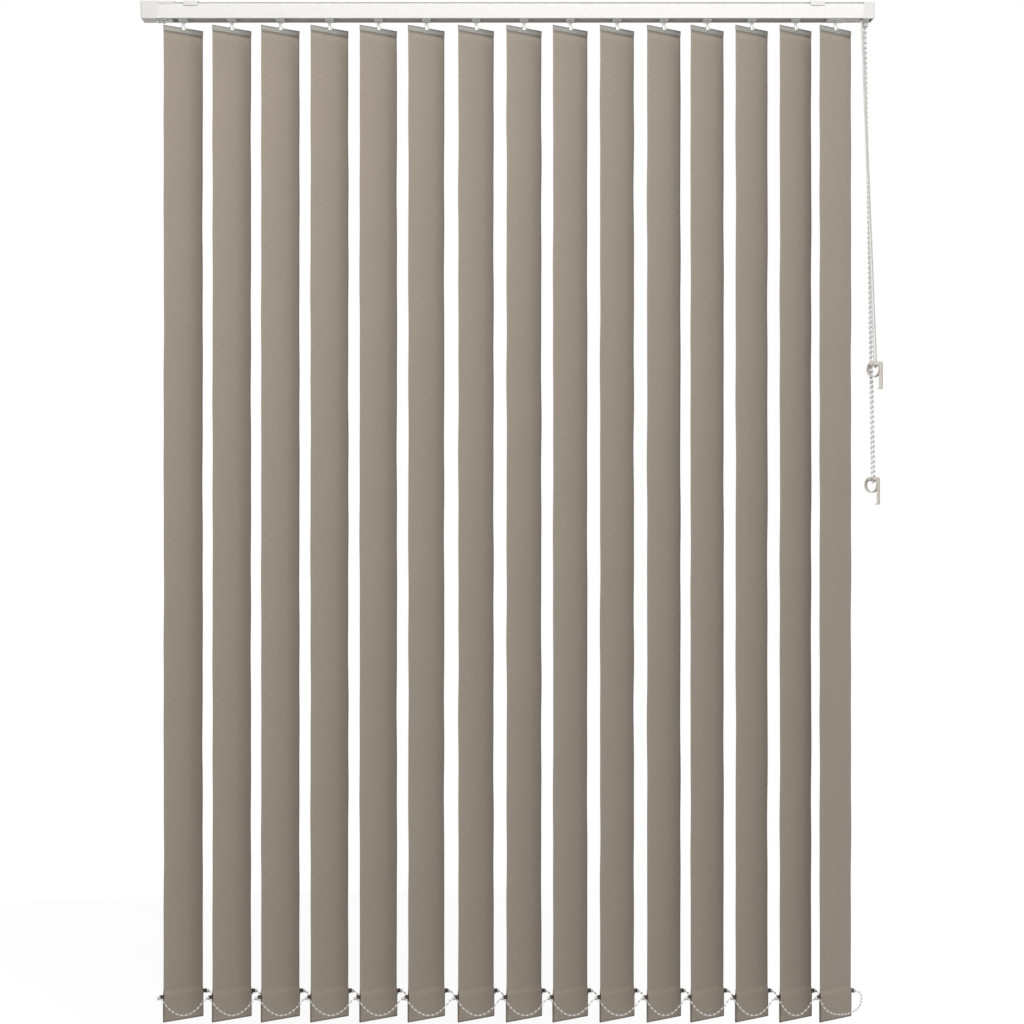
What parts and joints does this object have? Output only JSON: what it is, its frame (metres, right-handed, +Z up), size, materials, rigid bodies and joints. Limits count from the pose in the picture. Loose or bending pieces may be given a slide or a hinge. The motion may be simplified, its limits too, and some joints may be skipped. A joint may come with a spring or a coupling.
{
  "type": "vertical blind",
  "caption": "vertical blind: ceiling headrail, turning and travelling cloth vanes, draw cord, tilt chain with tensioners, and chains linking the vane feet",
  "frame": {"origin": "on the ceiling plane, midway between the two bracket screw holes", "axes": "X along the rail towards the control end, Y away from the room towards the window, Z up"},
  "size_m": [1.2727, 0.0882, 1.748],
  "materials": {
    "white_enamel": "smooth white stove enamel on an aluminium extrusion",
    "white_plastic": "white moulded plastic, slightly glossy",
    "white_steel": "white enamel on spring steel",
    "aluminium": "extruded aluminium",
    "taupe_cloth": "taupe woven cloth with a slub, stiffened",
    "clear_plastic": "clear plastic, a little milky",
    "white_cord": "white braided cord",
    "white_bead": "white plastic beads on a thread",
    "cream_plastic": "cream moulded plastic"
  },
  "bodies": {
    "root": {"headrail": "white_enamel", "control_end": "white_plastic", "idler_end": "white_plastic", "mounting_brackets": "white_steel", "carrier_01": "white_plastic", "draw_cord": "white_cord", "bead_chain": "white_bead", "cord_tensioner": "cream_plastic", "chain_tensioner": "cream_plastic"},
    "carriage_02": {"carrier_02": "white_plastic"},
    "carriage_03": {"carrier_03": "white_plastic"},
    "carriage_04": {"carrier_04": "white_plastic"},
    "carriage_05": {"carrier_05": "white_plastic"},
    "carriage_06": {"carrier_06": "white_plastic"},
    "carriage_07": {"carrier_07": "white_plastic"},
    "carriage_08": {"carrier_08": "white_plastic"},
    "carriage_09": {"carrier_09": "white_plastic"},
    "carriage_10": {"carrier_10": "white_plastic"},
    "carriage_11": {"carrier_11": "white_plastic"},
    "carriage_12": {"carrier_12": "white_plastic"},
    "carriage_13": {"carrier_13": "white_plastic"},
    "carriage_14": {"carrier_14": "white_plastic"},
    "lead_carriage": {"lead_carrier": "white_plastic"},
    "vane_01": {"cloth_vane_01": "taupe_cloth", "vane_fittings_01": "clear_plastic"},
    "vane_02": {"cloth_vane_02": "taupe_cloth", "vane_fittings_02": "clear_plastic"},
    "vane_03": {"cloth_vane_03": "taupe_cloth", "vane_fittings_03": "clear_plastic"},
    "vane_04": {"cloth_vane_04": "taupe_cloth", "vane_fittings_04": "clear_plastic"},
    "vane_05": {"cloth_vane_05": "taupe_cloth", "vane_fittings_05": "clear_plastic"},
    "vane_06": {"cloth_vane_06": "taupe_cloth", "vane_fittings_06": "clear_plastic"},
    "vane_07": {"cloth_vane_07": "taupe_cloth", "vane_fittings_07": "clear_plastic"},
    "vane_08": {"cloth_vane_08": "taupe_cloth", "vane_fittings_08": "clear_plastic"},
    "vane_09": {"cloth_vane_09": "taupe_cloth", "vane_fittings_09": "clear_plastic"},
    "vane_10": {"cloth_vane_10": "taupe_cloth", "vane_fittings_10": "clear_plastic"},
    "vane_11": {"cloth_vane_11": "taupe_cloth", "vane_fittings_11": "clear_plastic"},
    "vane_12": {"cloth_vane_12": "taupe_cloth", "vane_fittings_12": "clear_plastic"},
    "vane_13": {"cloth_vane_13": "taupe_cloth", "vane_fittings_13": "clear_plastic"},
    "vane_14": {"cloth_vane_14": "taupe_cloth", "vane_fittings_14": "clear_plastic"},
    "vane_15": {"cloth_vane_15": "taupe_cloth", "vane_fittings_15": "clear_plastic", "end_chain": "white_bead"},
    "front_stabiliser": {"front_chain": "white_bead"},
    "rear_stabiliser": {"rear_chain": "white_bead"},
    "tilt_shaft": {"tilt_rod": "aluminium"},
    "front_pulley": {"front_cord_pulley": "white_plastic"},
    "rear_pulley": {"rear_cord_pulley": "white_plastic"},
    "end_pulley": {"idler_pulley": "white_plastic"}
  },
  "joints": [
    {"name": "carriage_02_slide", "type": "slide", "parent": "root", "child": "carriage_02", "axis": [-1, 0, 0], "range_m": [0, 0.05644]},
    {"name": "carriage_03_slide", "type": "slide", "parent": "root", "child": "carriage_03", "axis": [-1, 0, 0], "range_m": [0, 0.11239]},
    {"name": "carriage_04_slide", "type": "slide", "parent": "root", "child": "carriage_04", "axis": [-1, 0, 0], "range_m": [0, 0.16901]},
    {"name": "carriage_05_slide", "type": "slide", "parent": "root", "child": "carriage_05", "axis": [-1, 0, 0], "range_m": [0, 0.22528]},
    {"name": "carriage_06_slide", "type": "slide", "parent": "root", "child": "carriage_06", "axis": [-1, 0, 0], "range_m": [0, 0.28056]},
    {"name": "carriage_07_slide", "type": "slide", "parent": "root", "child": "carriage_07", "axis": [-1, 0, 0], "range_m": [0, 0.33785]},
    {"name": "carriage_08_slide", "type": "slide", "parent": "root", "child": "carriage_08", "axis": [-1, 0, 0], "range_m": [0, 0.39312]},
    {"name": "carriage_09_slide", "type": "slide", "parent": "root", "child": "carriage_09", "axis": [-1, 0, 0], "range_m": [0, 0.44638]},
    {"name": "carriage_10_slide", "type": "slide", "parent": "root", "child": "carriage_10", "axis": [-1, 0, 0], "range_m": [0, 0.50032]},
    {"name": "carriage_11_slide", "type": "slide", "parent": "root", "child": "carriage_11", "axis": [-1, 0, 0], "range_m": [0, 0.55425]},
    {"name": "carriage_12_slide", "type": "slide", "parent": "root", "child": "carriage_12", "axis": [-1, 0, 0], "range_m": [0, 0.60417]},
    {"name": "carriage_13_slide", "type": "slide", "parent": "root", "child": "carriage_13", "axis": [-1, 0, 0], "range_m": [0, 0.65542]},
    {"name": "carriage_14_slide", "type": "slide", "parent": "root", "child": "carriage_14", "axis": [-1, 0, 0], "range_m": [0, 0.70601]},
    {"name": "lead_carriage_slide", "type": "slide", "parent": "root", "child": "lead_carriage", "axis": [-1, 0, 0], "range_m": [0, 0.7514], "deforming": ["front_chain", "rear_chain"]},
    {"name": "vane_01_turn", "type": "hinge", "parent": "root", "child": "vane_01", "pos_m": [-0.5575, 0, -0.043], "axis": [0, 0, 1], "range_deg": [-32.5, 117.5]},
    {"name": "vane_02_turn", "type": "hinge", "parent": "carriage_02", "child": "vane_02", "pos_m": [-0.474, 0, -0.043], "axis": [0, 0, 1], "range_deg": [-33, 118]},
    {"name": "vane_03_turn", "type": "hinge", "parent": "carriage_03", "child": "vane_03", "pos_m": [-0.3905, 0, -0.043], "axis": [0, 0, 1], "range_deg": [-33, 118]},
    {"name": "vane_04_turn", "type": "hinge", "parent": "carriage_04", "child": "vane_04", "pos_m": [-0.306, 0, -0.043], "axis": [0, 0, 1], "range_deg": [-33, 118]},
    {"name": "vane_05_turn", "type": "hinge", "parent": "carriage_05", "child": "vane_05", "pos_m": [-0.222, 0, -0.043], "axis": [0, 0, 1], "range_deg": [-33, 118]},
    {"name": "vane_06_turn", "type": "hinge", "parent": "carriage_06", "child": "vane_06", "pos_m": [-0.1395, 0, -0.043], "axis": [0, 0, 1], "range_deg": [-33, 118]},
    {"name": "vane_07_turn", "type": "hinge", "parent": "carriage_07", "child": "vane_07", "pos_m": [-0.054, 0, -0.043], "axis": [0, 0, 1], "range_deg": [-33, 118]},
    {"name": "vane_08_turn", "type": "hinge", "parent": "carriage_08", "child": "vane_08", "pos_m": [0.0285, 0, -0.043], "axis": [0, 0, 1], "range_deg": [-33, 118]},
    {"name": "vane_09_turn", "type": "hinge", "parent": "carriage_09", "child": "vane_09", "pos_m": [0.108, 0, -0.043], "axis": [0, 0, 1], "range_deg": [-33, 118]},
    {"name": "vane_10_turn", "type": "hinge", "parent": "carriage_10", "child": "vane_10", "pos_m": [0.1885, 0, -0.043], "axis": [0, 0, 1], "range_deg": [-33, 118]},
    {"name": "vane_11_turn", "type": "hinge", "parent": "carriage_11", "child": "vane_11", "pos_m": [0.269, 0, -0.043], "axis": [0, 0, 1], "range_deg": [-33, 118]},
    {"name": "vane_12_turn", "type": "hinge", "parent": "carriage_12", "child": "vane_12", "pos_m": [0.3435, 0, -0.043], "axis": [0, 0, 1], "range_deg": [-33, 118]},
    {"name": "vane_13_turn", "type": "hinge", "parent": "carriage_13", "child": "vane_13", "pos_m": [0.42, 0, -0.043], "axis": [0, 0, 1], "range_deg": [-33, 118]},
    {"name": "vane_14_turn", "type": "hinge", "parent": "carriage_14", "child": "vane_14", "pos_m": [0.4955, 0, -0.043], "axis": [0, 0, 1], "range_deg": [-33, 118]},
    {"name": "vane_15_turn", "type": "hinge", "parent": "lead_carriage", "child": "vane_15", "pos_m": [0.564, 0, -0.043], "axis": [0, 0, 1], "range_deg": [-33, 118]},
    {"name": "front_stabiliser_turn", "type": "hinge", "parent": "vane_01", "child": "front_stabiliser", "pos_m": [-0.59533, -0.04129, -1.7055], "axis": [0, 0, 1], "range_deg": [-118, 33]},
    {"name": "rear_stabiliser_turn", "type": "hinge", "parent": "vane_01", "child": "rear_stabiliser", "pos_m": [-0.51967, 0.04129, -1.7055], "axis": [0, 0, 1], "range_deg": [-118, 33]},
    {"name": "tilt_rod_turn", "type": "hinge", "parent": "root", "child": "tilt_shaft", "pos_m": [0, 0.0095, -0.015], "axis": [1, 0, 0], "range_deg": [-265, 945]},
    {"name": "front_pulley_turn", "type": "hinge", "parent": "root", "child": "front_pulley", "pos_m": [0.5986, -0.0115, -0.0155], "axis": [0, -1, 0], "range_deg": [-5, 5387]},
    {"name": "rear_pulley_turn", "type": "hinge", "parent": "root", "child": "rear_pulley", "pos_m": [0.5986, -0.0025, -0.0155], "axis": [0, -1, 0], "range_deg": [-5387, 5]},
    {"name": "end_pulley_turn", "type": "hinge", "parent": "root", "child": "end_pulley", "pos_m": [-0.59, -0.007, -0.0075], "axis": [0, 0, 1], "range_deg": [-5, 9572]}
  ],
  "couplings": [
    {"joint": "carriage_02_slide", "follows": "lead_carriage_slide", "ratio": 0.074454},
    {"joint": "carriage_03_slide", "follows": "lead_carriage_slide", "ratio": 0.14891},
    {"joint": "carriage_04_slide", "follows": "lead_carriage_slide", "ratio": 0.22425},
    {"joint": "carriage_05_slide", "follows": "lead_carriage_slide", "ratio": 0.29915},
    {"joint": "carriage_06_slide", "follows": "lead_carriage_slide", "ratio": 0.37272},
    {"joint": "carriage_07_slide", "follows": "lead_carriage_slide", "ratio": 0.44895},
    {"joint": "carriage_08_slide", "follows": "lead_carriage_slide", "ratio": 0.52251},
    {"joint": "carriage_09_slide", "follows": "lead_carriage_slide", "ratio": 0.5934},
    {"joint": "carriage_10_slide", "follows": "lead_carriage_slide", "ratio": 0.66518},
    {"joint": "carriage_11_slide", "follows": "lead_carriage_slide", "ratio": 0.73696},
    {"joint": "carriage_12_slide", "follows": "lead_carriage_slide", "ratio": 0.80339},
    {"joint": "carriage_13_slide", "follows": "lead_carriage_slide", "ratio": 0.8716},
    {"joint": "carriage_14_slide", "follows": "lead_carriage_slide", "ratio": 0.93892},
    {"joint": "vane_02_turn", "follows": "vane_01_turn", "ratio": 1},
    {"joint": "vane_03_turn", "follows": "vane_01_turn", "ratio": 1},
    {"joint": "vane_04_turn", "follows": "vane_01_turn", "ratio": 1},
    {"joint": "vane_05_turn", "follows": "vane_01_turn", "ratio": 1},
    {"joint": "vane_06_turn", "follows": "vane_01_turn", "ratio": 1},
    {"joint": "vane_07_turn", "follows": "vane_01_turn", "ratio": 1},
    {"joint": "vane_08_turn", "follows": "vane_01_turn", "ratio": 1},
    {"joint": "vane_09_turn", "follows": "vane_01_turn", "ratio": 1},
    {"joint": "vane_10_turn", "follows": "vane_01_turn", "ratio": 1},
    {"joint": "vane_11_turn", "follows": "vane_01_turn", "ratio": 1},
    {"joint": "vane_12_turn", "follows": "vane_01_turn", "ratio": 1},
    {"joint": "vane_13_turn", "follows": "vane_01_turn", "ratio": 1},
    {"joint": "vane_14_turn", "follows": "vane_01_turn", "ratio": 1},
    {"joint": "vane_15_turn", "follows": "vane_01_turn", "ratio": 1},
    {"joint": "front_stabiliser_turn", "follows": "vane_01_turn", "ratio": -1},
    {"joint": "rear_stabiliser_turn", "follows": "vane_01_turn", "ratio": -1},
    {"joint": "tilt_rod_turn", "follows": "vane_01_turn", "ratio": 8},
    {"joint": "front_pulley_turn", "follows": "lead_carriage_slide", "rad_per_m": 125},
    {"joint": "rear_pulley_turn", "follows": "lead_carriage_slide", "rad_per_m": -125},
    {"joint": "end_pulley_turn", "follows": "lead_carriage_slide", "rad_per_m": 222.22}
  ]
}
